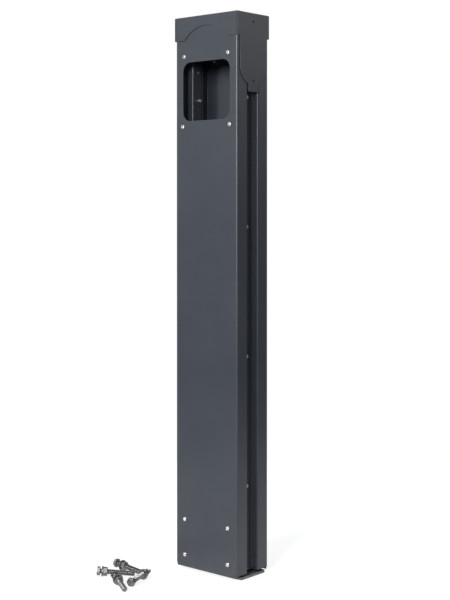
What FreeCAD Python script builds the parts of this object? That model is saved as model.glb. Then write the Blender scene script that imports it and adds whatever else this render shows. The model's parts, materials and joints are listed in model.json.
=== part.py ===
import FreeCAD, Part
import math
import os
import Sketcher
from FreeCAD import Vector

# EV charging post: two folded sheet shells screwed together along a groove on
# each side, a folded cap that drops over their top, and a welded foot inside.
# Frame: origin on the ground, in the middle of the foundation hole pattern and of
# the shells, +X to the right of the charger's face, +Y to the rear, +Z up. Millimetres.

SIZES = [
    # overall
    ("post_height", 1300, "ground to the cap's top"),
    ("post_width", 190, "outside of the shells, side to side"),
    ("post_depth", 110, "outside of the shells, front to rear"),
    # folded shells
    ("shell_sheet", 2, "sheet thickness of both shells"),
    ("bend_radius", 4, "outer radius of every fold"),
    ("shell_foot_gap", 6, "ground to the lower edge of the front and rear faces"),
    ("side_foot_gap", 12, "ground to the lower edge of the sides and grooves"),
    ("groove_width", 36.5, "mouth of the side grooves"),
    ("groove_depth", 18.6, "side face to the outer flange of the groove floor"),
    ("flange_overlap", 16, "overlap of the two flanges in the groove floor"),
    # windows
    ("window_margin", 22.5, "post's side to the charger window"),
    ("window_height", 137.5, "charger window"),
    ("window_top_drop", 106.5, "cap's top to the window's upper edge"),
    ("window_radius", 22, "window corners"),
    # screws round the windows
    ("upper_screw_margin", 27.5, "post's side to the screws above the window"),
    ("upper_screw_drop", 93, "below the cap's top"),
    ("lower_screw_margin", 22.5, "post's side to the screws below the window"),
    ("lower_screw_drop", 257, "below the cap's top"),
    # screws into the foot
    ("base_screw_margin", 28.5, "post's side to the base screws"),
    ("base_screw_height", 34.5, "ground to the lower row"),
    ("base_screw_pitch", 83.5, "lower row to upper row"),
    # screws in the grooves
    ("groove_screw_height", 208, "ground to the lowest one"),
    ("groove_screw_pitch", 300, "from one to the next"),
    ("groove_screw_count", 4, "on each side"),
    # cap
    ("cap_sheet", 1.5, "sheet thickness of the cap"),
    ("cap_side_gap", 0.5, "cap to shells, all round"),
    ("cap_top_gap", 0.3, "cap to the shells' upper edge"),
    ("cap_skirt", 55, "height of the front and rear skirts"),
    ("cap_seam", 2, "open seam at each vertical corner"),
    ("arch_width", 133, "arch cut in each skirt, at its feet"),
    ("arch_rise", 31.5, "arch cut in each skirt"),
    ("arch_foot_radius", 6, "rounding where the arch meets the skirt's edge"),
    ("shield_width", 92, "side shield below the cap"),
    ("shield_shoulder_drop", 132, "cap's top to the start of the shield's round"),
    ("shield_neck_drop", 164.5, "cap's top to the start of the tongue"),
    ("shield_round", 54, "radius between shoulder and neck"),
    ("tongue_width", 36, "tongue over the groove"),
    ("tongue_drop", 181, "cap's top to the tongue's lower edge"),
    ("tongue_radius", 3, "tongue's lower corners"),
    ("upper_cap_screw_drop", 20, "cap's top to the upper cap screw"),
    ("lower_cap_screw_drop", 155, "cap's top to the lower cap screw"),
    # rail for the cap screws in the top of each groove
    ("rail_sheet", 1.5, "sheet thickness"),
    ("rail_width", 30, "front to rear"),
    ("rail_slot", 8, "slot that the cap screws slide in"),
    ("rail_foot_drop", 175, "cap's top to the rail's lower end"),
    ("slide_nut_width", 16, "front to rear"),
    ("slide_nut_height", 12, "up and down"),
    ("slide_nut_thickness", 2.6, "across the rail"),
    ("slide_gap", 0.4, "running gap between nut, rail and shield"),
    ("rivet_radius", 2, "rail rivets"),
    ("rivet_head_radius", 3.6, "rail rivets"),
    ("rivet_head_height", 1.1, "rail rivets"),
    ("lower_rivet_drop", 125, "cap's top to the lower rail rivet"),
    ("upper_rivet_drop", 50, "cap's top to the upper rail rivet"),
    # foot
    ("plate_side_gap", 1.5, "post's side to the base plate's edge"),
    ("plate_front_gap", 17, "post's front to the base plate's edge"),
    ("plate_rear_gap", 8, "post's rear to the base plate's edge"),
    ("plate_thickness", 6, "base plate"),
    ("plate_radius", 3, "base plate corners"),
    ("upright_side_gap", 11, "post's side to the foot uprights' edge"),
    ("upright_radius", 8, "upper corners of the foot uprights"),
    ("upright_thickness", 4, "foot uprights"),
    ("upright_height", 150, "ground to the uprights' upper edge"),
    ("web_spacing", 80, "outside of the two webs"),
    ("web_thickness", 4, "webs"),
    ("web_height", 128, "ground to the webs' horns"),
    ("web_saddle", 34, "ground to the webs' middle"),
    ("web_horn", 9, "width of a web's horn at the top"),
    ("web_saddle_width", 48, "flat in the webs' middle"),
    ("anchor_spacing_x", 116, "foundation holes, side to side"),
    ("anchor_spacing_y", 50, "foundation holes, front to rear"),
    ("anchor_hole_radius", 7, "foundation holes, for M12"),
    ("cable_hole_radius", 25, "cable entry in the base plate"),
    ("bush_wall", 2.5, "cable bush"),
    ("bush_flange", 3, "cable bush's flange past the hole"),
    ("bush_flange_height", 2, "cable bush's flange"),
    ("bush_ground_gap", 0.5, "cable bush's lower end above the ground"),
    # fits
    ("fit_gap", 0.05, "radial gap of a shank in its thread or bore"),
    ("hole_gap", 0.25, "radial gap of a screw in a plain hole"),
    # M6 button-head screw and its clinch nut
    ("button_radius", 3, "shank"),
    ("button_length", 16, "below the head"),
    ("button_head_radius", 5.25, "head"),
    ("button_head_height", 3.3, "head"),
    ("button_socket", 2.3, "corner radius of the hexagon socket"),
    ("button_socket_depth", 2, "hexagon socket"),
    ("clinch_radius", 5.5, "M6 clinch nut"),
    ("clinch_height", 6, "M6 clinch nut"),
    ("weld_nut_radius", 5.77, "corner radius of the M6 weld nut"),
    ("weld_nut_height", 5, "M6 weld nut"),
    # M5 groove screw and its nut
    ("groove_screw_radius", 2.5, "shank"),
    ("groove_screw_length", 12, "below the head"),
    ("groove_head_radius", 4.5, "head"),
    ("groove_head_height", 2.75, "head"),
    ("groove_socket", 1.75, "corner radius of the hexagon socket"),
    ("groove_nut_radius", 4.6, "M5 clinch nut"),
    ("groove_nut_height", 5, "M5 clinch nut"),
    # M4 countersunk cap screw
    ("cap_screw_radius", 2, "shank"),
    ("cap_screw_head_radius", 3.3, "head at the surface"),
    ("cap_screw_length", 9, "overall"),
    ("cap_screw_socket", 1.45, "corner radius of the hexagon socket"),
    ("cap_screw_socket_depth", 1.3, "hexagon socket"),
    # blanking plate on the rear window
    ("blank_sheet", 2, "sheet thickness"),
    ("blank_margin", 10, "past the outermost screws, all round"),
    ("blank_radius", 8, "corners"),
    # cable clamp rail on the rear upright
    ("clamp_rail_length", 64, "side to side"),
    ("clamp_rail_height", 28, "up and down"),
    ("clamp_rail_depth", 15, "front to rear"),
    ("clamp_rail_slot", 12, "mouth of the rail"),
    ("clamp_rail_level", 112, "ground to the rail's middle"),
    ("clamp_spacing", 32, "between the two saddle clamps"),
    ("clamp_bore_radius", 9, "cable space in a clamp"),
    ("clamp_strip", 2, "strip thickness of a clamp"),
    ("clamp_width", 14, "width of a clamp's strip, along the cable"),
    ("clamp_foot", 8, "width of a clamp's foot, along the rail"),
    # earth stud on the rear upright
    ("earth_stud_radius", 4, "M8 stud"),
    ("earth_stud_length", 24, "M8 stud"),
    ("earth_stud_offset", 60, "from the centre line"),
    ("earth_stud_level", 76, "ground to the stud"),
    ("earth_washer_radius", 8, "washer"),
    ("earth_washer_height", 1.6, "washer"),
    ("earth_nut_radius", 7.5, "corner radius of the M8 nut"),
    ("earth_nut_height", 6.5, "M8 nut"),
    # loose foundation fixings, M12
    ("anchor_radius", 6, "shank"),
    ("anchor_length", 80, "below the head"),
    ("anchor_head_radius", 10.4, "corner radius of head and nut"),
    ("anchor_head_height", 7.5, "head"),
    ("anchor_nut_height", 10.5, "nut"),
    ("anchor_washer_radius", 12, "washer"),
    ("anchor_washer_height", 2.5, "washer"),
]

doc = FreeCAD.newDocument("ev_charging_post")
sheet = doc.addObject("Spreadsheet::Sheet", "Sizes")
for row, (alias, value, note) in enumerate(SIZES, start=1):
    sheet.set(f"A{row}", alias)
    sheet.set(f"B{row}", str(value))
    sheet.set(f"C{row}", note)
    sheet.setAlias(f"B{row}", alias)
doc.recompute()

ALIASES = sorted((alias for alias, _, _ in SIZES), key=len, reverse=True)
SAME = 0.01


def bound(words):
    """An expression in which each size's plain name is read from the sheet."""
    terms = words.replace("(", " ( ").replace(")", " ) ").split()
    return " ".join(f"Sizes.{term}" if term in ALIASES else term for term in terms)


def number(words):
    return float(sheet.evalExpression(bound(words)))


# Places shared by several pieces, as expressions in the sizes
HALF_WIDTH = "post_width / 2"
HALF_DEPTH = "post_depth / 2"
SHELL_TOP = "( post_height - cap_sheet - cap_top_gap )"
SHELL_HEIGHT = f"( {SHELL_TOP} - shell_foot_gap )"
CAP_HALF_WIDTH = "( post_width / 2 + cap_side_gap + cap_sheet )"
CAP_HALF_DEPTH = "( post_depth / 2 + cap_side_gap + cap_sheet )"
SHIELD_BACK = "( post_width / 2 + cap_side_gap )"
OUTER_FLOOR = "( post_width / 2 - groove_depth )"
INNER_FLOOR = "( post_width / 2 - groove_depth - shell_sheet )"
FLOOR_INSIDE = "( post_width / 2 - groove_depth - 2 * shell_sheet )"
WALL_INSIDE = "( post_depth / 2 - shell_sheet )"
UPRIGHT_INSIDE = "( post_depth / 2 - shell_sheet - upright_thickness )"


# ---------------------------------------------------------------- helpers

def origin_item(body, role):
    return next(item for item in body.Origin.OriginFeatures if item.Role == role)


def new_sketch(body, name, role, offset="0"):
    """A sketch on one of the body's origin planes, moved along its normal."""
    sketch = body.newObject("Sketcher::SketchObject", name)
    sketch.AttachmentSupport = (origin_item(body, role), "")
    sketch.MapMode = "FlatFace"
    sketch.setExpression("AttachmentOffset.Base.z", bound(offset))
    return sketch


def hold_point(sketch, geometry, position, across, up):
    """Tie one point of the sketch to two expressions, measured from its origin."""
    for kind, words in (("DistanceX", across), ("DistanceY", up)):
        rule = Sketcher.Constraint(kind, -1, 1, geometry, position, number(words))
        index = sketch.addConstraint(rule)
        sketch.setExpression(f"Constraints[{index}]", bound(words))


def draw_outline(sketch, corners, arcs=None):
    """A closed outline. arcs gives, for the run that leaves a corner, the radius
    expression and the side its centre lies on (1 left of the run, -1 right)."""
    arcs = arcs or {}
    points = [Vector(number(across), number(up), 0) for across, up in corners]
    for index, start in enumerate(points):
        finish = points[(index + 1) % len(points)]
        after = (index + 1) % len(points)
        if index not in arcs:
            geometry = sketch.addGeometry(Part.LineSegment(start, finish))
            hold_point(sketch, geometry, 1, *corners[index])
            hold_point(sketch, geometry, 2, *corners[after])
            continue
        words, side = arcs[index]
        radius = number(words)
        run = finish - start
        left = Vector(-run.y, run.x, 0).normalize()
        reach = (radius ** 2 - run.Length ** 2 / 4) ** 0.5
        centre = (start + finish) / 2 + left * reach * side
        # A sketch's arc runs anticlockwise, so it leaves the end that has the
        # centre on its left
        ends = [(start, corners[index]), (finish, corners[after])][::side]
        angles = [math.atan2(end.y - centre.y, end.x - centre.x) for end, _ in ends]
        if angles[1] < angles[0]:
            angles[1] += 2 * math.pi
        circle = Part.Circle(centre, Vector(0, 0, 1), radius)
        geometry = sketch.addGeometry(Part.ArcOfCircle(circle, *angles))
        hold_point(sketch, geometry, 1, *ends[0][1])
        hold_point(sketch, geometry, 2, *ends[1][1])
        rule = sketch.addConstraint(Sketcher.Constraint("Radius", geometry, radius))
        sketch.setExpression(f"Constraints[{rule}]", bound(words))


def draw_box(sketch, half, low, high):
    """A rectangle centred across the sketch, from low to high."""
    corners = [(f"- ( {half} )", low), (half, low), (half, high), (f"- ( {half} )", high)]
    draw_outline(sketch, corners)


def draw_circle(sketch, across, up, radius):
    centre = Vector(number(across), number(up), 0)
    circle = Part.Circle(centre, Vector(0, 0, 1), number(radius))
    geometry = sketch.addGeometry(circle)
    hold_point(sketch, geometry, 3, across, up)
    rule = sketch.addConstraint(Sketcher.Constraint("Radius", geometry, number(radius)))
    sketch.setExpression(f"Constraints[{rule}]", bound(radius))


def keep(body, feature):
    doc.recompute()
    body.Tip = feature
    return feature


def pad(body, sketch, length, reverse=False):
    feature = body.newObject("PartDesign::Pad", f"{sketch.Name}_pad")
    feature.Profile = sketch
    feature.setExpression("Length", bound(length))
    feature.Reversed = reverse
    return keep(body, feature)


def pocket(body, sketch, length, reverse=False):
    """Cut against the sketch's normal, or along it if reversed."""
    before = body.Shape.Volume
    feature = body.newObject("PartDesign::Pocket", f"{sketch.Name}_cut")
    feature.Profile = sketch
    feature.setExpression("Length", bound(length))
    feature.Reversed = reverse
    keep(body, feature)
    if body.Shape.Volume > before - SAME:
        raise RuntimeError(f"{feature.Name} cuts nothing")
    return feature


def pocket_both_ways(body, sketch):
    before = body.Shape.Volume
    feature = body.newObject("PartDesign::Pocket", f"{sketch.Name}_cut")
    feature.Profile = sketch
    feature.Type = "ThroughAll"
    feature.Midplane = True
    keep(body, feature)
    if body.Shape.Volume > before - SAME:
        raise RuntimeError(f"{feature.Name} cuts nothing")
    return feature


def mirror(body, feature, role):
    copy = body.newObject("PartDesign::Mirrored", f"{feature.Name}_mirror")
    copy.Originals = [feature]
    copy.MirrorPlane = (origin_item(body, role), [""])
    return keep(body, copy)


def repeat_up(body, feature, pitch, count):
    rows = body.newObject("PartDesign::LinearPattern", f"{feature.Name}_rows")
    rows.Originals = [feature]
    rows.Direction = (origin_item(body, "Z_Axis"), [""])
    rows.setExpression("Length", bound(f"{pitch} * ( {count} - 1 )"))
    rows.setExpression("Occurrences", bound(count))
    return keep(body, rows)


def edges_along(feature, axis, places):
    """Names of the straight edges along an axis (0 X, 1 Y, 2 Z) at the given
    places on the other two axes."""
    across = [index for index in range(3) if index != axis]
    spots = [[number(words) for words in place] for place in places]
    names = []
    for index, edge in enumerate(feature.Shape.Edges, start=1):
        if edge.Curve.TypeId != "Part::GeomLine":
            continue
        low = edge.Vertexes[0].Point
        high = edge.Vertexes[-1].Point
        for spot in spots:
            offsets = [abs(end[k] - spot[i]) for end in (low, high) for i, k in enumerate(across)]
            if max(offsets) < SAME:
                names.append(f"Edge{index}")
    if not names:
        raise RuntimeError(f"{feature.Name} has no such edges")
    return names


def round_edges(body, feature, name, radius, axis, places):
    rounding = body.newObject("PartDesign::Fillet", name)
    rounding.Base = (feature, edges_along(feature, axis, places))
    rounding.setExpression("Radius", bound(radius))
    return keep(body, rounding)


def both_sides(places):
    """Each place and its mirror image across the centre plane."""
    return [(f"{side} * {across}", up) for across, up in places for side in (1, -1)]


def new_body(name):
    body = doc.addObject("PartDesign::Body", name)
    body.Label = name
    return body


def place(item, position, axis=(0, 0, 1), angle=0):
    """Put an object at a position given by three expressions, turned about axis."""
    for letter, words in zip("xyz", position):
        item.setExpression(f".Placement.Base.{letter}", bound(words))
    item.Placement.Rotation = FreeCAD.Rotation(Vector(*axis), angle)
    return item


def cylinder(name, radius, height, low="0"):
    item = doc.addObject("Part::Cylinder", name)
    item.setExpression("Radius", bound(radius))
    item.setExpression("Height", bound(height))
    return place(item, ("0", "0", low))


def hexagon(name, corner_radius, height, low="0", turn=0):
    item = doc.addObject("Part::Prism", name)
    item.Polygon = 6
    item.setExpression("Circumradius", bound(corner_radius))
    item.setExpression("Height", bound(height))
    return place(item, ("0", "0", low), (0, 0, 1), turn)


def cone(name, low_radius, high_radius, height, low="0"):
    item = doc.addObject("Part::Cone", name)
    item.setExpression("Radius1", bound(low_radius))
    item.setExpression("Radius2", bound(high_radius))
    item.setExpression("Height", bound(height))
    return place(item, ("0", "0", low))


def fuse(name, items):
    item = doc.addObject("Part::MultiFuse", name)
    item.Shapes = items
    return item


def cut(name, base, tool):
    item = doc.addObject("Part::Cut", name)
    item.Base = base
    item.Tool = tool
    return item


def group(name, item, places):
    """One node that holds a separate copy of item at each place. A place is three
    expressions, a turning axis and an angle."""
    copies = []
    for index, (position, axis, angle) in enumerate(places, start=1):
        copy = doc.addObject("App::Link", f"{name}_{index}")
        copy.LinkedObject = item
        copies.append(place(copy, position, axis, angle))
    compound = doc.addObject("Part::Compound", name)
    compound.Links = copies
    compound.Label = name
    return compound


# Turns that send a fastener's +Z, from its tip to its head, out of a wall
OUT_FRONT = ((1, 0, 0), 90)
OUT_REAR = ((1, 0, 0), -90)
OUT_RIGHT = ((0, 1, 0), 90)
OUT_LEFT = ((0, 1, 0), -90)
nodes = []


# ---------------------------------------------------------------- shells

def window_screws():
    """Places, across and up, of the four screws round a window."""
    upper = (f"( {HALF_WIDTH} - upper_screw_margin )", "post_height - upper_screw_drop")
    lower = (f"( {HALF_WIDTH} - lower_screw_margin )", "post_height - lower_screw_drop")
    return both_sides([upper, lower])


def base_screws():
    """Places, across and up, of the four screws into the foot."""
    low = (f"( {HALF_WIDTH} - base_screw_margin )", "base_screw_height")
    high = (f"( {HALF_WIDTH} - base_screw_margin )", "base_screw_height + base_screw_pitch")
    return both_sides([low, high])


def shell(name, side, floor):
    """A folded shell: face, two sides, two groove walls and two floor flanges.
    side is -1 for the front one and 1 for the rear one; floor is the face of its
    flange that looks out of the groove."""
    face = f"{side} * {HALF_DEPTH}"
    face_inside = f"{side} * {WALL_INSIDE}"
    wall = f"{side} * groove_width / 2"
    wall_inside = f"{side} * ( groove_width / 2 + shell_sheet )"
    flange_end = f"{-side} * flange_overlap / 2"
    side_inside = "( post_width / 2 - shell_sheet )"
    floor_inside = f"( {floor} - shell_sheet )"
    right = [(HALF_WIDTH, face), (HALF_WIDTH, wall), (floor, wall), (floor, flange_end),
             (floor_inside, flange_end), (floor_inside, wall_inside),
             (side_inside, wall_inside), (side_inside, face_inside)]
    left = [(f"- ( {across} )", up) for across, up in reversed(right)]
    body = new_body(name)
    section = new_sketch(body, f"{name}_section", "XY_Plane", "shell_foot_gap")
    draw_outline(section, right + left)
    blank = pad(body, section, SHELL_HEIGHT)
    outer = both_sides([(HALF_WIDTH, face), (HALF_WIDTH, wall), (floor_inside, wall_inside)])
    blank = round_edges(body, blank, f"{name}_outer_folds", "bend_radius", 2, outer)
    inner = both_sides([(side_inside, face_inside), (side_inside, wall_inside), (floor, wall)])
    round_edges(body, blank, f"{name}_inner_folds", "bend_radius - shell_sheet", 2, inner)

    # The XZ plane's normal is -Y, so the rear shell is cut along it
    rear = side > 0
    window = new_sketch(body, f"{name}_window", "XZ_Plane", f"{-side} * {HALF_DEPTH}")
    window_top = "( post_height - window_top_drop )"
    window_foot = f"( {window_top} - window_height )"
    jamb = f"( {HALF_WIDTH} - window_margin )"
    draw_box(window, jamb, window_foot, window_top)
    opening = pocket(body, window, "2 * shell_sheet", rear)
    corners = both_sides([(jamb, window_foot), (jamb, window_top)])
    round_edges(body, opening, f"{name}_window_corners", "window_radius", 1, corners)

    holes = new_sketch(body, f"{name}_screw_holes", "XZ_Plane", f"{-side} * {HALF_DEPTH}")
    for across, up in window_screws() + base_screws():
        draw_circle(holes, across, up, "button_radius + hole_gap")
    pocket(body, holes, "2 * shell_sheet", rear)

    # Sides, grooves and folds stop higher up than the face itself
    relief = new_sketch(body, f"{name}_foot_relief", "XY_Plane", "shell_foot_gap")
    flat = f"( {HALF_WIDTH} - bend_radius )"
    right = [(flat, f"{side} * post_depth"), (flat, face_inside)]
    around = [("post_width", f"{-side} * flange_overlap"), ("post_width", f"{side} * post_depth")]
    left = [(f"- {across}", up) for across, up in reversed(around + right)]
    draw_outline(relief, around + right + left)
    pocket(body, relief, "side_foot_gap - shell_foot_gap", True)

    seam = new_sketch(body, f"{name}_seam_hole", "YZ_Plane")
    draw_circle(seam, "0", "groove_screw_height", "groove_screw_radius + hole_gap")
    repeat_up(body, pocket_both_ways(body, seam), "groove_screw_pitch", "groove_screw_count")

    rivets = new_sketch(body, f"{name}_rivet_holes", "YZ_Plane")
    for drop in ("lower_rivet_drop", "upper_rivet_drop"):
        draw_circle(rivets, "0", f"post_height - {drop}", "rivet_radius + fit_gap")
    pocket_both_ways(body, rivets)
    nodes.append(body)


def blanking_plate():
    """Plate screwed over the rear window from outside."""
    body = new_body("rear_blanking_plate")
    outline = new_sketch(body, "blank_outline", "XZ_Plane", f"- {HALF_DEPTH}")
    half = f"( {HALF_WIDTH} - lower_screw_margin + blank_margin )"
    low = "( post_height - lower_screw_drop - blank_margin )"
    high = "( post_height - upper_screw_drop + blank_margin )"
    draw_box(outline, half, low, high)
    plate = pad(body, outline, "blank_sheet", True)
    round_edges(body, plate, "blank_corners", "blank_radius", 1, both_sides([(half, low), (half, high)]))
    holes = new_sketch(body, "blank_holes", "XZ_Plane", f"- {HALF_DEPTH}")
    for across, up in window_screws():
        draw_circle(holes, across, up, "button_radius + hole_gap")
    pocket(body, holes, "2 * blank_sheet")
    nodes.append(body)


# ---------------------------------------------------------------- cap

def cap():
    """One folded sheet: top, arched front and rear skirts, and a shield on each
    side that narrows to a tongue over the groove. Its corner seams stay open."""
    body = new_body("cap")
    top = new_sketch(body, "cap_top", "XY_Plane", "post_height - cap_sheet")
    draw_box(top, CAP_HALF_WIDTH, f"- {CAP_HALF_DEPTH}", CAP_HALF_DEPTH)
    pad(body, top, "cap_sheet")

    skirt = new_sketch(body, "cap_skirt_outline", "XZ_Plane", CAP_HALF_DEPTH)
    end = f"( {SHIELD_BACK} - cap_seam )"
    foot = "( post_height - cap_skirt )"
    arch_foot = "arch_width / 2"
    corners = [(f"- {end}", foot), (f"- {arch_foot}", foot), (arch_foot, foot), (end, foot),
               (end, "post_height"), (f"- {end}", "post_height")]
    arch = "( ( arch_width / 2 ) ^ 2 + arch_rise ^ 2 ) / ( 2 * arch_rise )"
    draw_outline(skirt, corners, {1: (arch, -1)})
    front = pad(body, skirt, "cap_sheet", True)
    rear = mirror(body, front, "XZ_Plane")
    feet = both_sides([(arch_foot, foot)])
    round_edges(body, rear, "cap_arch_feet", "arch_foot_radius", 1, feet)

    outline = new_sketch(body, "cap_shield_outline", "YZ_Plane", SHIELD_BACK)
    shoulder = "post_height - shield_shoulder_drop"
    neck = "post_height - shield_neck_drop"
    tip = "post_height - tongue_drop"
    rear_half = [("tongue_width / 2", tip), ("tongue_width / 2", neck),
                 ("shield_width / 2", shoulder), ("shield_width / 2", foot),
                 (CAP_HALF_DEPTH, foot), (CAP_HALF_DEPTH, "post_height")]
    front_half = [(f"- ( {across} )", up) for across, up in reversed(rear_half)]
    last = len(rear_half) + len(front_half) - 1
    draw_outline(outline, rear_half + front_half, {1: ("shield_round", 1), last - 2: ("shield_round", 1)})
    shield = mirror(body, pad(body, outline, "cap_sheet"), "YZ_Plane")
    round_edges(body, shield, "cap_tongue_corners", "tongue_radius", 0,
                [("tongue_width / 2", tip), ("- tongue_width / 2", tip)])

    holes = new_sketch(body, "cap_screw_holes", "YZ_Plane")
    for drop in ("upper_cap_screw_drop", "lower_cap_screw_drop"):
        draw_circle(holes, "0", f"post_height - {drop}", "cap_screw_radius + hole_gap")
    drilled = pocket_both_ways(body, holes)
    rims = []
    for index, edge in enumerate(drilled.Shape.Edges, start=1):
        round_rim = edge.Curve.TypeId == "Part::GeomCircle" and edge.Closed
        if round_rim and abs(abs(edge.Curve.Center.x) - number(CAP_HALF_WIDTH)) < SAME:
            rims.append(f"Edge{index}")
    sink = body.newObject("PartDesign::Chamfer", "cap_countersinks")
    sink.Base = (drilled, rims)
    sink.setExpression("Size", bound("cap_screw_head_radius - cap_screw_radius"))
    keep(body, sink)
    ridge = "post_height"
    long_edges = edges_along(sink, 0, [(f"{side} * {CAP_HALF_DEPTH}", ridge) for side in (1, -1)])
    short_edges = edges_along(sink, 1, [(f"{side} * {CAP_HALF_WIDTH}", ridge) for side in (1, -1)])
    folds = body.newObject("PartDesign::Fillet", "cap_folds")
    folds.Base = (sink, long_edges + short_edges)
    folds.setExpression("Radius", bound("cap_sheet * 0.9"))
    keep(body, folds)
    nodes.append(body)


def cap_rail(name, side):
    """C-shaped rail in the top of a groove, open upwards, so that the cap's
    screws and slide nuts drop into it."""
    lip_outside = f"( {SHIELD_BACK} - slide_gap )"
    body = new_body(name)
    section = new_sketch(body, f"{name}_section", "XY_Plane", "post_height - rail_foot_drop")
    back = OUTER_FLOOR
    front = lip_outside
    outer_half = "rail_width / 2"
    inner_half = "( rail_width / 2 - rail_sheet )"
    slot_half = "rail_slot / 2"
    rear_half = [(back, outer_half), (front, outer_half), (front, slot_half),
                 (f"{front} - rail_sheet", slot_half), (f"{front} - rail_sheet", inner_half),
                 (f"{back} + rail_sheet", inner_half)]
    front_half = [(across, f"- ( {up} )") for across, up in reversed(rear_half)]
    corners = [(f"{side} * ( {across} )", up) for across, up in rear_half + front_half]
    draw_outline(section, corners)
    pad(body, section, f"{SHELL_TOP} - ( post_height - rail_foot_drop )")
    rivets = new_sketch(body, f"{name}_rivet_holes", "YZ_Plane")
    for drop in ("lower_rivet_drop", "upper_rivet_drop"):
        draw_circle(rivets, "0", f"post_height - {drop}", "rivet_radius + fit_gap")
    pocket_both_ways(body, rivets)
    nodes.append(body)


def cap_fasteners():
    """Countersunk cap screws, the slide nuts they pull on, and the rail rivets."""
    sink = "( cap_screw_head_radius - cap_screw_radius )"
    shank = cylinder("cap_screw_shank", "cap_screw_radius", f"cap_screw_length - {sink}")
    head = cone("cap_screw_head", "cap_screw_radius", "cap_screw_head_radius", sink,
                f"cap_screw_length - {sink}")
    socket = hexagon("cap_screw_socket_tool", "cap_screw_socket", "cap_screw_socket_depth",
                     "cap_screw_length - cap_screw_socket_depth")
    screw = cut("cap_screw", fuse("cap_screw_blank", [shank, head]), socket)
    # The head sits just below the shield's surface
    tip = f"( {CAP_HALF_WIDTH} - cap_screw_length - fit_gap )"
    levels = [f"post_height - {drop}" for drop in ("upper_cap_screw_drop", "lower_cap_screw_drop")]
    places = [((f"{side} * {tip}", "0", level), *turn)
              for side, turn in ((1, OUT_RIGHT), (-1, OUT_LEFT)) for level in levels]
    nodes.append(group("cap_screws", screw, places))

    block = doc.addObject("Part::Box", "slide_nut_block")
    block.setExpression("Length", bound("slide_nut_height"))
    block.setExpression("Width", bound("slide_nut_width"))
    block.setExpression("Height", bound("slide_nut_thickness"))
    place(block, ("- slide_nut_height / 2", "- slide_nut_width / 2", "0"))
    thread = cylinder("slide_nut_thread", "cap_screw_radius + fit_gap", "slide_nut_thickness")
    nut = cut("slide_nut", block, thread)
    inside = f"( {SHIELD_BACK} - slide_gap - rail_sheet - slide_gap - slide_nut_thickness )"
    places = [((f"{side} * {inside}", "0", level), *turn)
              for side, turn in ((1, OUT_RIGHT), (-1, OUT_LEFT)) for level in levels]
    nodes.append(group("cap_slide_nuts", nut, places))

    grip = "( rail_sheet + 2 * shell_sheet )"
    stem = cylinder("rivet_stem", "rivet_radius", grip)
    outer = cone("rivet_outer_head", "rivet_head_radius", "rivet_radius", "rivet_head_height", grip)
    inner = cone("rivet_inner_head", "rivet_radius", "rivet_head_radius", "rivet_head_height",
                 "- rivet_head_height")
    rivet = fuse("rail_rivet", [stem, outer, inner])
    drops = [f"post_height - {drop}" for drop in ("upper_rivet_drop", "lower_rivet_drop")]
    places = [((f"{side} * {FLOOR_INSIDE}", "0", level), *turn)
              for side, turn in ((1, OUT_RIGHT), (-1, OUT_LEFT)) for level in drops]
    nodes.append(group("cap_rail_rivets", rivet, places))


# ---------------------------------------------------------------- foot

def base_plate():
    body = new_body("base_plate")
    outline = new_sketch(body, "plate_outline", "XY_Plane")
    half = f"( {HALF_WIDTH} - plate_side_gap )"
    front = f"( plate_front_gap - {HALF_DEPTH} )"
    rear = f"( {HALF_DEPTH} - plate_rear_gap )"
    draw_box(outline, half, front, rear)
    slab = pad(body, outline, "plate_thickness")
    corners = both_sides([(half, front), (half, rear)])
    round_edges(body, slab, "plate_corners", "plate_radius", 2, corners)
    holes = new_sketch(body, "plate_holes", "XY_Plane")
    draw_circle(holes, "0", "0", "cable_hole_radius")
    for side in (1, -1):
        for end in (1, -1):
            draw_circle(holes, f"{side} * anchor_spacing_x / 2", f"{end} * anchor_spacing_y / 2",
                        "anchor_hole_radius")
    pocket_both_ways(body, holes)
    nodes.append(body)


def upright(name, side):
    """Plate welded to the ends of the webs, flat against a shell's inside."""
    body = new_body(name)
    outline = new_sketch(body, f"{name}_outline", "XZ_Plane", f"{-side} * {WALL_INSIDE}")
    half = f"( {HALF_WIDTH} - upright_side_gap )"
    draw_box(outline, half, "side_foot_gap", "upright_height")
    rear = side > 0
    slab = pad(body, outline, "upright_thickness", not rear)
    corners = both_sides([(half, "upright_height")])
    round_edges(body, slab, f"{name}_corners", "upright_radius", 1, corners)
    holes = new_sketch(body, f"{name}_holes", "XZ_Plane", f"{-side} * {WALL_INSIDE}")
    for across, up in base_screws():
        draw_circle(holes, across, up, "button_radius + hole_gap")
    pocket(body, holes, "2 * upright_thickness", rear)
    nodes.append(body)


def foot_web(name, side):
    """Web between the uprights, low in the middle so that cables pass over it."""
    body = new_body(name)
    offset = "web_spacing / 2 - web_thickness" if side > 0 else "- web_spacing / 2"
    outline = new_sketch(body, f"{name}_outline", "YZ_Plane", offset)
    rear_half = [(UPRIGHT_INSIDE, "plate_thickness"), (UPRIGHT_INSIDE, "web_height"),
                 (f"{UPRIGHT_INSIDE} - web_horn", "web_height"), ("web_saddle_width / 2", "web_saddle")]
    front_half = [(f"- ( {across} )", up) for across, up in reversed(rear_half)]
    draw_outline(outline, rear_half + front_half)
    pad(body, outline, "web_thickness")
    nodes.append(body)


def cable_bush():
    """Push-in bush that covers the edge of the cable entry."""
    hole = "( cable_hole_radius - fit_gap )"
    neck = cylinder("bush_neck", hole, "plate_thickness - bush_ground_gap", "bush_ground_gap")
    flange = cylinder("bush_collar", "cable_hole_radius + bush_flange", "bush_flange_height",
                      "plate_thickness")
    bore = cylinder("bush_bore", "cable_hole_radius - bush_wall",
                    "plate_thickness + bush_flange_height")
    bush = cut("cable_bush", fuse("bush_blank", [neck, flange]), bore)
    bush.Label = "cable_bush"
    nodes.append(bush)


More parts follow.
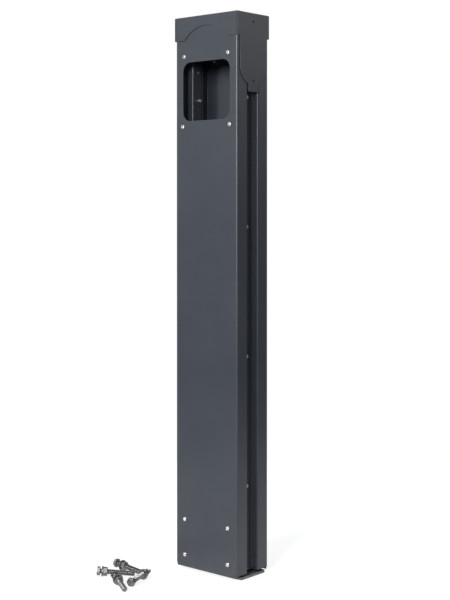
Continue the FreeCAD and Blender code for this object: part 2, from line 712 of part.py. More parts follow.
def clamp_rail():
    """C-shaped rail on the rear upright that the cable clamps hook into."""
    body = new_body("cable_clamp_rail")
    back = f"( {UPRIGHT_INSIDE} )"
    front = f"( {UPRIGHT_INSIDE} - clamp_rail_depth )"
    low = "( clamp_rail_level - clamp_rail_height / 2 )"
    high = "( clamp_rail_level + clamp_rail_height / 2 )"
    lower_lip = "( clamp_rail_level - clamp_rail_slot / 2 )"
    upper_lip = "( clamp_rail_level + clamp_rail_slot / 2 )"
    section = new_sketch(body, "clamp_rail_section", "YZ_Plane", "- clamp_rail_length / 2")
    corners = [(back, low), (back, high), (front, high), (front, upper_lip),
               (f"{front} + rail_sheet", upper_lip), (f"{front} + rail_sheet", f"{high} - rail_sheet"),
               (f"{back} - rail_sheet", f"{high} - rail_sheet"),
               (f"{back} - rail_sheet", f"{low} + rail_sheet"),
               (f"{front} + rail_sheet", f"{low} + rail_sheet"),
               (f"{front} + rail_sheet", lower_lip), (front, lower_lip), (front, low)]
    draw_outline(section, corners)
    pad(body, section, "clamp_rail_length")
    nodes.append(body)


def cable_clamps():
    """Saddle clamps: an upright ring of strip with a foot that grips the rail's lips."""
    outer = "( clamp_bore_radius + clamp_strip )"
    reach = f"( {outer} + rail_sheet + slide_gap )"
    ring = cylinder("clamp_ring", outer, "clamp_width")
    bore = cylinder("clamp_bore", "clamp_bore_radius", "clamp_width")
    stem = doc.addObject("Part::Box", "clamp_stem")
    stem.setExpression("Length", bound("clamp_foot"))
    stem.setExpression("Width", bound(reach))
    stem.setExpression("Height", bound("clamp_rail_slot - 2 * slide_gap"))
    place(stem, ("- clamp_foot / 2", "0", "( clamp_width - clamp_rail_slot ) / 2 + slide_gap"))
    toe = doc.addObject("Part::Box", "clamp_toe")
    toe.setExpression("Length", bound("clamp_foot"))
    toe.setExpression("Width", bound("clamp_strip"))
    toe.setExpression("Height", bound("clamp_rail_slot + 2 * clamp_strip"))
    place(toe, ("- clamp_foot / 2", reach, "( clamp_width - clamp_rail_slot ) / 2 - clamp_strip"))
    clamp = cut("cable_clamp", fuse("clamp_blank", [ring, stem, toe]), bore)
    depth = f"( {UPRIGHT_INSIDE} - clamp_rail_depth - {outer} )"
    places = [((f"{side} * clamp_spacing / 2", depth, "clamp_rail_level - clamp_width / 2"),
               (0, 0, 1), 0) for side in (1, -1)]
    nodes.append(group("cable_clamps", clamp, places))


def earth_terminal():
    """Stud welded on the rear upright, with two washers and a nut."""
    across = "- earth_stud_offset"
    turn = OUT_FRONT
    stud = cylinder("earth_stud_rod", "earth_stud_radius", "earth_stud_length")
    nodes.append(group("earth_stud", stud, [((across, UPRIGHT_INSIDE, "earth_stud_level"), *turn)]))
    disc = cylinder("earth_disc", "earth_washer_radius", "earth_washer_height")
    hole = cylinder("earth_disc_hole", "earth_stud_radius + fit_gap", "earth_washer_height")
    washer = cut("earth_washer", disc, hole)
    reach = f"{UPRIGHT_INSIDE} - {{}} * earth_washer_height"
    places = [((across, reach.format(index), "earth_stud_level"), *turn) for index in (0, 1)]
    nodes.append(group("earth_washers", washer, places))
    hexa = hexagon("earth_nut_hexagon", "earth_nut_radius", "earth_nut_height")
    thread = cylinder("earth_nut_thread", "earth_stud_radius + fit_gap", "earth_nut_height")
    nut = cut("earth_nut_solid", hexa, thread)
    nodes.append(group("earth_nut", nut, [((across, reach.format(2), "earth_stud_level"), *turn)]))


# ---------------------------------------------------------------- fasteners

def button_screw(name, shank_radius, length, head_radius, head_height, socket, socket_depth):
    """Round-headed screw with a hexagon socket: tip at z = 0, head on top."""
    shank = cylinder(f"{name}_shank", shank_radius, length)
    disc = cylinder(f"{name}_disc", head_radius, head_height, length)
    doc.recompute()
    dome = doc.addObject("Part::Fillet", f"{name}_dome")
    dome.Base = disc
    rim = next(index for index, edge in enumerate(disc.Shape.Edges, start=1)
               if edge.Closed and edge.BoundBox.ZMin > number(f"{length} + {head_height} / 2"))
    round_off = number(f"{head_height} * 0.7")
    dome.Edges = [(rim, round_off, round_off)]
    tool = hexagon(f"{name}_socket_tool", socket, socket_depth,
                   f"{length} + {head_height} - {socket_depth}")
    return cut(name, fuse(f"{name}_blank", [shank, dome]), tool)


def round_nut(name, radius, height, bore):
    disc = cylinder(f"{name}_disc", radius, height)
    return cut(name, disc, cylinder(f"{name}_bore", bore, height))


def wall_places(spots, surface, side):
    """Places on the front (-1) or rear (1) wall, turned to look outwards."""
    turn = OUT_REAR if side > 0 else OUT_FRONT
    return [((across, f"{side} * ( {surface} )", up), *turn) for across, up in spots]


def wall_fasteners():
    """Screws and nuts of the charger window, the blanking plate and the foot."""
    screw = button_screw("button_screw", "button_radius", "button_length", "button_head_radius",
                         "button_head_height", "button_socket", "button_socket_depth")
    clinch = round_nut("clinch_nut", "clinch_radius", "clinch_height", "button_radius + fit_gap")
    weld = cut("weld_nut", hexagon("weld_nut_hexagon", "weld_nut_radius", "weld_nut_height"),
               cylinder("weld_nut_thread", "button_radius + fit_gap", "weld_nut_height"))
    under_head = f"{HALF_DEPTH} - button_length"
    behind_wall = f"{WALL_INSIDE} - clinch_height"
    behind_upright = f"{UPRIGHT_INSIDE} - weld_nut_height"
    window = window_screws()
    foot = base_screws()
    nodes.append(group("charger_screws", screw, wall_places(window, under_head, -1)))
    nodes.append(group("charger_clinch_nuts", clinch, wall_places(window, behind_wall, -1)))
    over_plate = f"{under_head} + blank_sheet"
    nodes.append(group("blanking_plate_screws", screw, wall_places(window, over_plate, 1)))
    nodes.append(group("blanking_plate_clinch_nuts", clinch, wall_places(window, behind_wall, 1)))
    for label, side in (("front", -1), ("rear", 1)):
        nodes.append(group(f"{label}_base_screws", screw, wall_places(foot, under_head, side)))
        nodes.append(group(f"{label}_base_weld_nuts", weld, wall_places(foot, behind_upright, side)))


def groove_fasteners():
    """Screws that join the two shells' flanges in the groove floors."""
    screw = button_screw("seam_screw", "groove_screw_radius", "groove_screw_length",
                         "groove_head_radius", "groove_head_height", "groove_socket",
                         "groove_head_height / 2")
    nut = round_nut("seam_nut", "groove_nut_radius", "groove_nut_height",
                    "groove_screw_radius + fit_gap")
    count = int(number("groove_screw_count"))
    levels = [f"groove_screw_height + {index} * groove_screw_pitch" for index in range(count)]
    for label, side, turn in (("right", 1, OUT_RIGHT), ("left", -1, OUT_LEFT)):
        tip = f"{side} * ( {OUTER_FLOOR} - groove_screw_length )"
        places = [((tip, "0", level), *turn) for level in levels]
        nodes.append(group(f"{label}_groove_screws", screw, places))
        back = f"{side} * ( {FLOOR_INSIDE} - groove_nut_height )"
        places = [((back, "0", level), *turn) for level in levels]
        nodes.append(group(f"{label}_groove_nuts", nut, places))


# ---------------------------------------------------------------- loose fixings

# Each loose bolt lies on the ground: its head's place, the bearing of its tip
# (degrees from +X towards +Y), and how far its washer and nut are run on
LOOSE_BOLTS = [
    (-174, -228, 41, 4),
    (-67, -231, 106, 50),
    (-115, -236, -29, 20),
    (-185, -160, 0, 14),
]
GROUND_GAP = 0.3
HEXAGON_FLAT = math.cos(math.radians(30))


def resting_line(reach):
    """Height of a lying bolt's axis under its head, and its slope. It rests on its
    washer, reach from the head, and on its head or its tip, whichever is further."""
    length = number("anchor_length")
    washer_height = number("anchor_washer_radius") + GROUND_GAP
    if reach > length / 2:
        support = -number("anchor_head_height")
        height = number("anchor_head_radius") * HEXAGON_FLAT + GROUND_GAP
    else:
        support = length
        height = number("anchor_radius") + GROUND_GAP
    slope = (washer_height - height) / (reach - support)
    return washer_height - slope * reach, slope


def along_bolts(offset):
    """Places at an offset along each loose bolt, counted from under its head."""
    places = []
    for across, back, bearing, reach in LOOSE_BOLTS:
        height, slope = resting_line(reach)
        climb = math.degrees(math.atan(slope))
        turn = FreeCAD.Rotation(Vector(0, 0, 1), bearing) * FreeCAD.Rotation(Vector(0, 1, 0), 90 - climb)
        spot = Vector(across, back, height) + turn.multVec(Vector(0, 0, offset(reach)))
        position = tuple(f"{value:.4f}" for value in spot)
        places.append((position, tuple(turn.Axis), math.degrees(turn.Angle)))
    return places


def loose_fixings():
    """M12 foundation bolts with their washers and nuts, lying on the ground."""
    # Turned so that a flat of the hexagon faces the ground
    head = hexagon("anchor_head", "anchor_head_radius", "anchor_head_height",
                   "- anchor_head_height", 30)
    bolt = fuse("anchor_bolt", [head, cylinder("anchor_rod", "anchor_radius", "anchor_length")])
    disc = cylinder("anchor_disc", "anchor_washer_radius", "anchor_washer_height")
    hole = cylinder("anchor_disc_hole", "anchor_radius + fit_gap", "anchor_washer_height")
    washer = cut("anchor_washer", disc, hole)
    hexa = hexagon("anchor_nut_hexagon", "anchor_head_radius", "anchor_nut_height", "0", 30)
    thread = cylinder("anchor_nut_thread", "anchor_radius + fit_gap", "anchor_nut_height")
    nut = cut("anchor_nut", hexa, thread)
    past_washer = number("anchor_washer_height")
    nodes.append(group("foundation_bolts", bolt, along_bolts(lambda reach: 0)))
    nodes.append(group("foundation_washers", washer, along_bolts(lambda reach: reach)))
    nodes.append(group("foundation_nuts", nut, along_bolts(lambda reach: reach + past_washer)))


shell("front_shell", -1, INNER_FLOOR)
shell("rear_shell", 1, OUTER_FLOOR)
blanking_plate()
cap()
cap_rail("right_cap_rail", 1)
cap_rail("left_cap_rail", -1)
cap_fasteners()
base_plate()
upright("front_upright", -1)
upright("rear_upright", 1)
foot_web("right_foot_web", 1)
foot_web("left_foot_web", -1)
cable_bush()
clamp_rail()
cable_clamps()
earth_terminal()
wall_fasteners()
groove_fasteners()
loose_fixings()
doc.recompute()

for item in doc.Objects:
    if "Invalid" in item.State or "Error" in item.State:
        raise RuntimeError(f"{item.Name} failed: {item.State}")
for node in nodes:
    if node.Shape.isNull() or not node.Shape.isValid():
        raise RuntimeError(f"{node.Label} has no valid shape")

os.makedirs("parts", exist_ok=True)
for node in nodes:
    node.Shape.exportStep(os.path.join("parts", f"{node.Label}.step"))
    solids = len(node.Shape.Solids)
    print(f"{node.Label}: {solids} solids, {node.Shape.Volume / 1000:.1f} cm3")
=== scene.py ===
import json
import math

import bmesh
import bpy
import numpy as np
from mathutils import Matrix, Vector


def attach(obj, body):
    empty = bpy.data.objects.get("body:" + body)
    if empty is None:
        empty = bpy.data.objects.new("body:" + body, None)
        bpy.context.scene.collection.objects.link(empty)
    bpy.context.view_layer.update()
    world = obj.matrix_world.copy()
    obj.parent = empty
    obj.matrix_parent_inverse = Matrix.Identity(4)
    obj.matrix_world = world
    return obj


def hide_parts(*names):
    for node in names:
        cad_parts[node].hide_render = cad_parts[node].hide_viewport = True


# EV charging post: coats, metals, threaded loose fixings, light and camera.
# Metres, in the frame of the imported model: +X right, +Y rear, +Z up.

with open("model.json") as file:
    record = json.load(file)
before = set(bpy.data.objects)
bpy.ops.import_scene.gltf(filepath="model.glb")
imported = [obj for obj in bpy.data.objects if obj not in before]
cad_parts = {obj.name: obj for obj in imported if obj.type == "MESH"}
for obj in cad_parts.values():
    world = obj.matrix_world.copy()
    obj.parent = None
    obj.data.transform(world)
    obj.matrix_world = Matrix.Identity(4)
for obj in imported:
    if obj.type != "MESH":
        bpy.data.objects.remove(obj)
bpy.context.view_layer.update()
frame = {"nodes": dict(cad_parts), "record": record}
scene = bpy.context.scene


# ---------------------------------------------------------------- materials

def start_material(name):
    """A new material, with its node tree, its shader and its object coordinates."""
    material = bpy.data.materials.new(name)
    material.use_nodes = True
    tree = material.node_tree
    place = tree.nodes.new("ShaderNodeTexCoord").outputs["Object"]
    return material, tree, tree.nodes["Principled BSDF"], place


def feed(tree, socket, value):
    """Link value to a socket if it is a socket too, or else set it there."""
    if isinstance(value, bpy.types.NodeSocket):
        tree.links.new(value, socket)
    else:
        socket.default_value = value


def noise(tree, place, scale, detail=3.0, roughness=0.55):
    """Noise from 0 to 1. The scale is in grains per metre."""
    made = tree.nodes.new("ShaderNodeTexNoise")
    feed(tree, made.inputs["Vector"], place)
    made.inputs["Scale"].default_value = scale
    made.inputs["Detail"].default_value = detail
    made.inputs["Roughness"].default_value = roughness
    return made.outputs["Fac"]


def stretched(tree, place, factors):
    """Coordinates scaled by a factor along each axis."""
    made = tree.nodes.new("ShaderNodeVectorMath")
    made.operation = "MULTIPLY"
    feed(tree, made.inputs[0], place)
    made.inputs[1].default_value = factors
    return made.outputs["Vector"]


def remap(tree, value, from_low, from_high, to_low, to_high):
    """A value carried from one range to another, and held inside it."""
    made = tree.nodes.new("ShaderNodeMapRange")
    feed(tree, made.inputs["Value"], value)
    for name, bound in (("From Min", from_low), ("From Max", from_high),
                        ("To Min", to_low), ("To Max", to_high)):
        made.inputs[name].default_value = bound
    return made.outputs["Result"]


def multiply(tree, first, second):
    made = tree.nodes.new("ShaderNodeMath")
    made.operation = "MULTIPLY"
    feed(tree, made.inputs[0], first)
    feed(tree, made.inputs[1], second)
    return made.outputs["Value"]


def blend(tree, amount, first, second):
    """Colour that goes from first to second as amount goes from 0 to 1."""
    made = tree.nodes.new("ShaderNodeMix")
    made.data_type = "RGBA"
    feed(tree, made.inputs["Factor"], amount)
    feed(tree, made.inputs["A"], first)
    feed(tree, made.inputs["B"], second)
    return made.outputs["Result"]


def soft_normal(tree, radius):
    """Surface normal with the sharp edges rounded to a radius."""
    made = tree.nodes.new("ShaderNodeBevel")
    made.samples = 4
    made.inputs["Radius"].default_value = radius
    return made.outputs["Normal"]


def edge_amount(tree, rounded):
    """1 at sharp edges and 0 on flat or gently folded sheet."""
    here = tree.nodes.new("ShaderNodeNewGeometry").outputs["Normal"]
    made = tree.nodes.new("ShaderNodeVectorMath")
    made.operation = "DOT_PRODUCT"
    feed(tree, made.inputs[0], here)
    feed(tree, made.inputs[1], rounded)
    return remap(tree, made.outputs["Value"], 0.99, 0.86, 0.0, 1.0)


def bump(tree, height, strength, distance, normal):
    made = tree.nodes.new("ShaderNodeBump")
    made.inputs["Strength"].default_value = strength
    made.inputs["Distance"].default_value = distance
    feed(tree, made.inputs["Height"], height)
    feed(tree, made.inputs["Normal"], normal)
    return made.outputs["Normal"]


def powder_coat(name, deep, pale, edge_wear_and_highlight, edge_wear_and_highlight_share, dust):
    """Satin powder coat: fine orange peel, faint clouds, thin coat on the sharp
    edges, lighter there as abraded coat and as a painted highlight, and a trace of dust near the
    ground."""
    material, tree, shader, place = start_material(name)
    clouds = noise(tree, place, 9.0, 4.0)
    grains = noise(tree, place, 1500.0, 2.0)
    peel = noise(tree, place, 620.0, 2.0, 0.45)
    colour = blend(tree, remap(tree, clouds, 0.3, 0.7, 0.0, 1.0), deep, pale)
    speck = tuple(1.35 * part for part in pale[:3]) + (1.0,)
    colour = blend(tree, remap(tree, grains, 0.55, 0.8, 0.0, 0.35), colour, speck)
    rounded = soft_normal(tree, 0.0007)
    # Lighter colour on the sharp edges: partly abraded coat, partly a painted highlight.
    patches = remap(tree, noise(tree, place, 130.0), 0.35, 0.65, 0.25, 1.0)
    abraded_and_highlighted = multiply(tree, multiply(tree, edge_amount(tree, rounded), patches), edge_wear_and_highlight_share)
    colour = blend(tree, abraded_and_highlighted, colour, edge_wear_and_highlight)
    split = tree.nodes.new("ShaderNodeSeparateXYZ")
    feed(tree, split.inputs[0], place)
    low = remap(tree, split.outputs["Z"], 0.0, 0.16, 1.0, 0.0)
    settled = remap(tree, noise(tree, place, 55.0, 5.0), 0.4, 0.75, 0.0, dust)
    colour = blend(tree, multiply(tree, low, settled), colour, (0.30, 0.28, 0.25, 1.0))
    feed(tree, shader.inputs["Base Color"], colour)
    feed(tree, shader.inputs["Roughness"], remap(tree, grains, 0.25, 0.75, 0.34, 0.46))
    feed(tree, shader.inputs["Normal"], bump(tree, peel, 0.16, 0.0004, rounded))
    return material


def bare_metal(name, deep, pale, smooth, rough, grain, lay):
    """Plated or bare steel: clouded tone, fine directional grain, brighter edges."""
    material, tree, shader, place = start_material(name)
    clouds = noise(tree, place, 70.0, 4.0)
    scratches = noise(tree, stretched(tree, place, lay), grain, 3.0, 0.6)
    colour = blend(tree, remap(tree, clouds, 0.3, 0.7, 0.0, 1.0), deep, pale)
    rounded = soft_normal(tree, 0.0004)
    bright = tuple(min(1.0, 1.2 * part) for part in pale[:3]) + (1.0,)
    colour = blend(tree, multiply(tree, edge_amount(tree, rounded), 0.6), colour, bright)
    feed(tree, shader.inputs["Base Color"], colour)
    feed(tree, shader.inputs["Roughness"], remap(tree, scratches, 0.25, 0.75, smooth, rough))
    feed(tree, shader.inputs["Normal"], bump(tree, scratches, 0.12, 0.0002, rounded))
    shader.inputs["Metallic"].default_value = 1.0
    return material


def dark_screw_coat(name):
    """Black passivated screw: nearly matt, with its edges a little abraded."""
    material, tree, shader, place = start_material(name)
    clouds = noise(tree, place, 900.0, 3.0)
    rounded = soft_normal(tree, 0.0003)
    colour = blend(tree, clouds, (0.012, 0.012, 0.014, 1.0), (0.030, 0.031, 0.034, 1.0))
    colour = blend(tree, multiply(tree, edge_amount(tree, rounded), 0.4), colour,
                   (0.12, 0.12, 0.12, 1.0))
    feed(tree, shader.inputs["Base Color"], colour)
    feed(tree, shader.inputs["Roughness"], remap(tree, clouds, 0.3, 0.7, 0.35, 0.55))
    feed(tree, shader.inputs["Normal"], bump(tree, clouds, 0.1, 0.0002, rounded))
    shader.inputs["Metallic"].default_value = 0.5
    return material


def black_rubber(name):
    """Moulded rubber: matt, with a faint bloom."""
    material, tree, shader, place = start_material(name)
    bloom = noise(tree, place, 120.0, 5.0)
    grain = noise(tree, place, 1800.0, 2.0)
    colour = blend(tree, remap(tree, bloom, 0.4, 0.8, 0.0, 1.0),
                   (0.014, 0.014, 0.015, 1.0), (0.045, 0.044, 0.043, 1.0))
    feed(tree, shader.inputs["Base Color"], colour)
    feed(tree, shader.inputs["Roughness"], remap(tree, bloom, 0.3, 0.7, 0.62, 0.85))
    feed(tree, shader.inputs["Normal"],
         bump(tree, grain, 0.2, 0.0003, soft_normal(tree, 0.0005)))
    return material


finishes = {
    "anthracite_coat": powder_coat(
        "anthracite_coat", deep=(0.020, 0.024, 0.032, 1.0), pale=(0.026, 0.030, 0.039, 1.0),
        edge_wear_and_highlight=(0.17, 0.18, 0.19, 1.0), edge_wear_and_highlight_share=0.45, dust=0.03),
    "foot_coat": powder_coat(
        "foot_coat", deep=(0.060, 0.062, 0.066, 1.0), pale=(0.082, 0.084, 0.088, 1.0),
        edge_wear_and_highlight=(0.22, 0.22, 0.22, 1.0), edge_wear_and_highlight_share=0.6, dust=0.35),
    "zinc_plated": bare_metal(
        "zinc_plated", deep=(0.44, 0.455, 0.48, 1.0), pale=(0.58, 0.59, 0.61, 1.0),
        smooth=0.32, rough=0.50, grain=900.0, lay=(1.0, 1.0, 0.25)),
    "stainless": bare_metal(
        "stainless", deep=(0.50, 0.50, 0.49, 1.0), pale=(0.64, 0.635, 0.62, 1.0),
        smooth=0.30, rough=0.46, grain=2600.0, lay=(1.0, 1.0, 0.4)),
    "dull_steel": bare_metal(
        "dull_steel", deep=(0.13, 0.127, 0.123, 1.0), pale=(0.25, 0.245, 0.238, 1.0),
        smooth=0.34, rough=0.52, grain=1800.0, lay=(1.0, 1.0, 0.5)),
    "dark_screws": dark_screw_coat("dark_screws"),
    "rubber": black_rubber("rubber"),
}


def dress(node, finish):
    """One finish on all of a CAD node."""
    materials = frame["nodes"][node].data.materials
    for index in range(len(materials)):
        materials[index] = finishes[finish]


for subpart in frame["record"]["subparts"]:
    dress(subpart["node"], subpart["material_slot"])
dress("foundation_washers", "dull_steel")


# ---------------------------------------------------------------- loose fixings

# M12 bolts and nuts. SHANK and NUT_BORE are radii.
SHANK = 0.006
PITCH = 0.00175
THREAD_DEPTH = 0.00095
HEAD_HEIGHT = 0.0075
NUT_BORE = SHANK + 0.00005
BORE_LEAD = 0.0006

# Depth of the slice at each end of a bolt that tells its head from its tip.
END_SLICE = 0.0008

# The chamfer of a hexagon starts at this share of its half width across flats.
CHAMFER_START = 0.95
CHAMFER_SLOPE = math.tan(math.radians(30))

# Corners of one turn of the thread, two on its crest and two in its root: a radius and
# a share of the pitch.
THREAD_PROFILE = ((SHANK, 0.0), (SHANK, 0.125),
                  (SHANK - THREAD_DEPTH, 0.45), (SHANK - THREAD_DEPTH, 0.70))

# How much the shank's radius grows with the distance from its tip.
POINT_SLOPE = 0.9

HEXAGON_STEPS = 72
THREAD_STEPS = 24


def solids_of(name):
    """The points of each separate solid of a CAD node, with no point twice."""
    mesh = frame["nodes"][name].data
    points = np.array([vertex.co for vertex in mesh.vertices])
    unique, index = np.unique(np.round(points, 6), axis=0, return_inverse=True)
    index = index.ravel()
    parent = list(range(len(unique)))

    def root(item):
        while parent[item] != item:
            parent[item] = parent[parent[item]]
            item = parent[item]
        return item

    for face in mesh.polygons:
        first, *others = (root(index[corner]) for corner in face.vertices)
        for other in others:
            parent[root(other)] = root(first)
    groups = {}
    for item in range(len(unique)):
        groups.setdefault(root(item), []).append(unique[item])
    return [np.array(group) for group in groups.values()]


def bolt_axis(points):
    """Middle of a bolt's head and of its tip, from its points."""
    middle = points.mean(axis=0)
    along = np.linalg.svd(points - middle)[2][0]
    reach = (points - middle) @ along
    ends = [points[reach < reach.min() + END_SLICE], points[reach > reach.max() - END_SLICE]]
    centres = [end.mean(axis=0) for end in ends]
    spread = [np.linalg.norm(end - centre, axis=1).max() for end, centre in zip(ends, centres)]
    head = int(np.argmax(spread))
    return Vector(centres[head]), Vector(centres[1 - head])


def hexagon_frame(points, origin, along):
    """Matrix with +Z along an axis and +X towards a corner of the hexagon on it, with
    the reach of the points along that axis and the radius of the corner."""
    best, corner = 0.0, None
    reaches = []
    for point in points:
        offset = Vector(point) - origin
        reach = offset.dot(along)
        reaches.append(reach)
        across = offset - along * reach
        if across.length > best:
            best, corner = across.length, across
    side = corner.normalized()
    turn = Matrix((side, along.cross(side), along)).transposed().to_4x4()
    return Matrix.Translation(origin) @ turn, min(reaches), max(reaches), best


def hexagon_radius(angle, corner_radius):
    """Distance from a hexagon's middle to its edge, with a corner at angle 0."""
    turn = (angle + math.pi / 6) % (math.pi / 3) - math.pi / 6
    return corner_radius * math.cos(math.pi / 6) / math.cos(math.pi / 6 - abs(turn))


def ring(mesh, radius_at, height_at):
    """A closed ring of points round +Z."""
    made = []
    for step in range(HEXAGON_STEPS):
        angle = 2 * math.pi * step / HEXAGON_STEPS
        radius = radius_at(angle)
        made.append(mesh.verts.new((radius * math.cos(angle), radius * math.sin(angle),
                                    height_at(radius))))
    return made


def skin(mesh, lower, upper):
    """Faces between two rings."""
    for step in range(HEXAGON_STEPS):
        after = (step + 1) % HEXAGON_STEPS
        mesh.faces.new((lower[step], lower[after], upper[after], upper[step]))


def hexagon_solid(mesh, low, high, corner_radius, chamfer_low, chamfer_high, bore=0.0):
    """Hexagon, chamfered on each end whose flag is 1, with a bore if it has a radius."""
    flat = corner_radius * math.cos(math.pi / 6) * CHAMFER_START

    def outline(angle):
        return hexagon_radius(angle, corner_radius)

    def drop(radius):
        return max(0.0, radius - flat) * CHAMFER_SLOPE

    rings = []
    if chamfer_low:
        rings.append(ring(mesh, lambda angle: flat, lambda radius: low))
    rings.append(ring(mesh, outline, lambda radius: low + chamfer_low * drop(radius)))
    rings.append(ring(mesh, outline, lambda radius: high - chamfer_high * drop(radius)))
    if chamfer_high:
        rings.append(ring(mesh, lambda angle: flat, lambda radius: high))
    if bore:
        mouth = bore + BORE_LEAD
        rings = ([ring(mesh, lambda angle: bore, lambda radius: low + BORE_LEAD),
                  ring(mesh, lambda angle: mouth, lambda radius: low)] + rings
                 + [ring(mesh, lambda angle: mouth, lambda radius: high),
                    ring(mesh, lambda angle: bore, lambda radius: high - BORE_LEAD)])
        skin(mesh, rings[-1], rings[0])
    else:
        mesh.faces.new(list(reversed(rings[0])))
        mesh.faces.new(rings[-1])
    for lower, upper in zip(rings, rings[1:]):
        skin(mesh, lower, upper)


def thread(mesh, low, high):
    """Screw thread from low to high on +Z, pointed and closed at the high end. The head
    covers the low end, which fixing() closes."""
    root = SHANK - THREAD_DEPTH
    rows = []
    for lap in range(-1, int(math.ceil((high - low) / PITCH)) + 1):
        for radius, part in THREAD_PROFILE:
            row = []
            for step in range(THREAD_STEPS):
                height = low + (lap + part + step / THREAD_STEPS) * PITCH
                held = min(max(height, low), high)
                size = min(radius, root + max(0.0, high - held) * POINT_SLOPE)
                angle = 2 * math.pi * step / THREAD_STEPS
                row.append(mesh.verts.new((size * math.cos(angle), size * math.sin(angle), held)))
            rows.append(row)
    for index in range(len(rows) - 1):
        for step in range(THREAD_STEPS - 1):
            mesh.faces.new((rows[index][step], rows[index][step + 1],
                            rows[index + 1][step + 1], rows[index + 1][step]))
        lap_on = index + len(THREAD_PROFILE)
        if lap_on + 1 < len(rows):
            mesh.faces.new((rows[index][-1], rows[lap_on][0],
                            rows[lap_on + 1][0], rows[index + 1][-1]))
    tip = [mesh.verts.new((root * math.cos(2 * math.pi * step / THREAD_STEPS),
                           root * math.sin(2 * math.pi * step / THREAD_STEPS), high))
           for step in range(THREAD_STEPS)]
    mesh.faces.new(tip)


def fixing(mesh, name, matrix, stands_for):
    """A closed object from a bmesh, smooth up to 35 degrees, that lies beside the post
    and takes the place of a CAD node."""
    bmesh.ops.remove_doubles(mesh, verts=mesh.verts, dist=1e-7)
    bmesh.ops.dissolve_degenerate(mesh, edges=mesh.edges, dist=1e-8)
    bmesh.ops.holes_fill(mesh, edges=[edge for edge in mesh.edges if edge.is_boundary])
    bmesh.ops.recalc_face_normals(mesh, faces=mesh.faces)
    data = bpy.data.meshes.new(name)
    mesh.to_mesh(data)
    mesh.free()
    data.transform(matrix)
    data.shade_smooth()
    data.set_sharp_from_angle(angle=math.radians(35))
    data.materials.append(finishes["dull_steel"])
    made = bpy.data.objects.new(name, data)
    scene.collection.objects.link(made)
    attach(made, "post")
    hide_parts(stands_for)


def nearest_axis(points, axes):
    """The head and direction of the bolt that runs through these points."""
    middle = Vector(points.mean(axis=0))
    offsets = []
    for head, along in axes:
        offset = middle - head
        offsets.append((offset - along * offset.dot(along)).length)
    return axes[offsets.index(min(offsets))]


axes = []
for number, points in enumerate(solids_of("foundation_bolts"), start=1):
    head, tip = bolt_axis(points)
    along = (tip - head).normalized()
    axes.append((head, along))
    matrix, low, high, corner_radius = hexagon_frame(points, head, along)
    mesh = bmesh.new()
    hexagon_solid(mesh, low, low + HEAD_HEIGHT, corner_radius, 1, 0)
    thread(mesh, low + HEAD_HEIGHT, high)
    fixing(mesh, f"threaded_bolt_{number}", matrix, "foundation_bolts")
for number, points in enumerate(solids_of("foundation_nuts"), start=1):
    head, along = nearest_axis(points, axes)
    matrix, low, high, corner_radius = hexagon_frame(points, head, along)
    mesh = bmesh.new()
    hexagon_solid(mesh, low, high, corner_radius, 1, 1, NUT_BORE)
    fixing(mesh, f"chamfered_nut_{number}", matrix, "foundation_nuts")


# ---------------------------------------------------------------- floor and backdrop

def plain_stage(name, mesh, inputs):
    """Stage object from a bmesh, with a one-shader material."""
    data = bpy.data.meshes.new(name)
    mesh.to_mesh(data)
    mesh.free()
    material = bpy.data.materials.new(name)
    material.use_nodes = True
    tree = material.node_tree
    shader = tree.nodes["Principled BSDF"]
    for key, value in inputs.items():
        shader.inputs[key].default_value = value
    data.materials.append(material)
    made = bpy.data.objects.new(name, data)
    scene.collection.objects.link(made)
    return made


FLOOR_RADIUS = 1.25
BACKDROP_RADIUS = 21.0

white = (1.0, 1.0, 1.0, 1.0)
mesh = bmesh.new()
bmesh.ops.create_circle(mesh, cap_ends=True, segments=128, radius=FLOOR_RADIUS)
plain_stage("floor", mesh, {"Base Color": (0.26, 0.26, 0.26, 1.0), "Roughness": 0.9,
                            "Specular IOR Level": 0.1,
                            "Emission Color": white, "Emission Strength": 0.78})
mesh = bmesh.new()
bmesh.ops.create_icosphere(mesh, subdivisions=4, radius=BACKDROP_RADIUS)
backdrop = plain_stage("backdrop", mesh, {"Base Color": (0.0, 0.0, 0.0, 1.0), "Roughness": 1.0,
                                          "Specular IOR Level": 0.0,
                                          "Emission Color": white, "Emission Strength": 1.0})
for kind in ("diffuse", "glossy", "transmission", "volume_scatter", "shadow"):
    setattr(backdrop, f"visible_{kind}", False)


# ---------------------------------------------------------------- light

# The surroundings go from one colour at the horizon to another overhead, between two
# heights of the direction.
HORIZON, HORIZON_TOP = (0.16, 0.165, 0.18, 1.0), 0.05
OVERHEAD, OVERHEAD_FOOT = (0.55, 0.57, 0.60, 1.0), 0.75

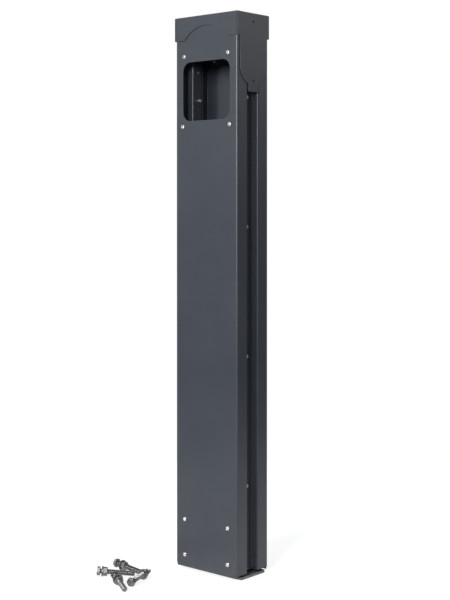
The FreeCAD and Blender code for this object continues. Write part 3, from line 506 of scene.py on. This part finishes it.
world = bpy.data.worlds.new("studio")
scene.world = world
world.use_nodes = True
tree = world.node_tree
direction = tree.nodes.new("ShaderNodeTexCoord").outputs["Generated"]
split = tree.nodes.new("ShaderNodeSeparateXYZ")
feed(tree, split.inputs[0], direction)
level = remap(tree, split.outputs["Z"], HORIZON_TOP, OVERHEAD_FOOT, 0.0, 1.0)
feed(tree, tree.nodes["Background"].inputs["Color"], blend(tree, level, HORIZON, OVERHEAD))


def softbox(name, place, aim_height, width, height, power):
    """Area light that faces the post's axis at a height, unseen by the camera."""
    data = bpy.data.lights.new(name, "AREA")
    data.shape = "RECTANGLE"
    data.size = width
    data.size_y = height
    data.energy = power
    made = bpy.data.objects.new(name, data)
    made.location = place
    towards = Vector((0.0, 0.0, aim_height)) - Vector(place)
    made.rotation_euler = towards.to_track_quat("-Z", "Y").to_euler()
    made.visible_camera = False
    scene.collection.objects.link(made)


softbox("key_softbox", (-0.35, -3.3, 1.65), 1.0, 0.5, 1.1, 90.0)
softbox("fill_softbox", (1.35, -3.0, 1.8), 1.1, 0.4, 1.1, 95.0)
softbox("left_softbox", (-3.2, -1.6, 1.9), 0.7, 1.4, 1.8, 16.0)
softbox("rear_softbox", (-1.6, 3.4, 2.3), 0.8, 1.6, 1.6, 45.0)
softbox("right_softbox", (2.5, 2.6, 2.3), 1.0, 1.2, 1.2, 14.0)


# ---------------------------------------------------------------- camera

# Angles in degrees.
CAMERA_PLACE = (1.9085, -2.1907, 0.8465)
CAMERA_AZIMUTH = 40.907
CAMERA_DOWN = 0.54
FRAME_SHIFT = -0.13

camera_data = bpy.data.cameras.new("camera")
camera_data.sensor_width = 36.0
camera_data.lens = 74.056
camera_data.shift_y = FRAME_SHIFT
camera = bpy.data.objects.new("camera", camera_data)
camera.location = CAMERA_PLACE
camera.rotation_euler = (math.radians(90 - CAMERA_DOWN), 0.0, math.radians(CAMERA_AZIMUTH))
scene.collection.objects.link(camera)
scene.camera = camera
scene.view_settings.view_transform = "Standard"
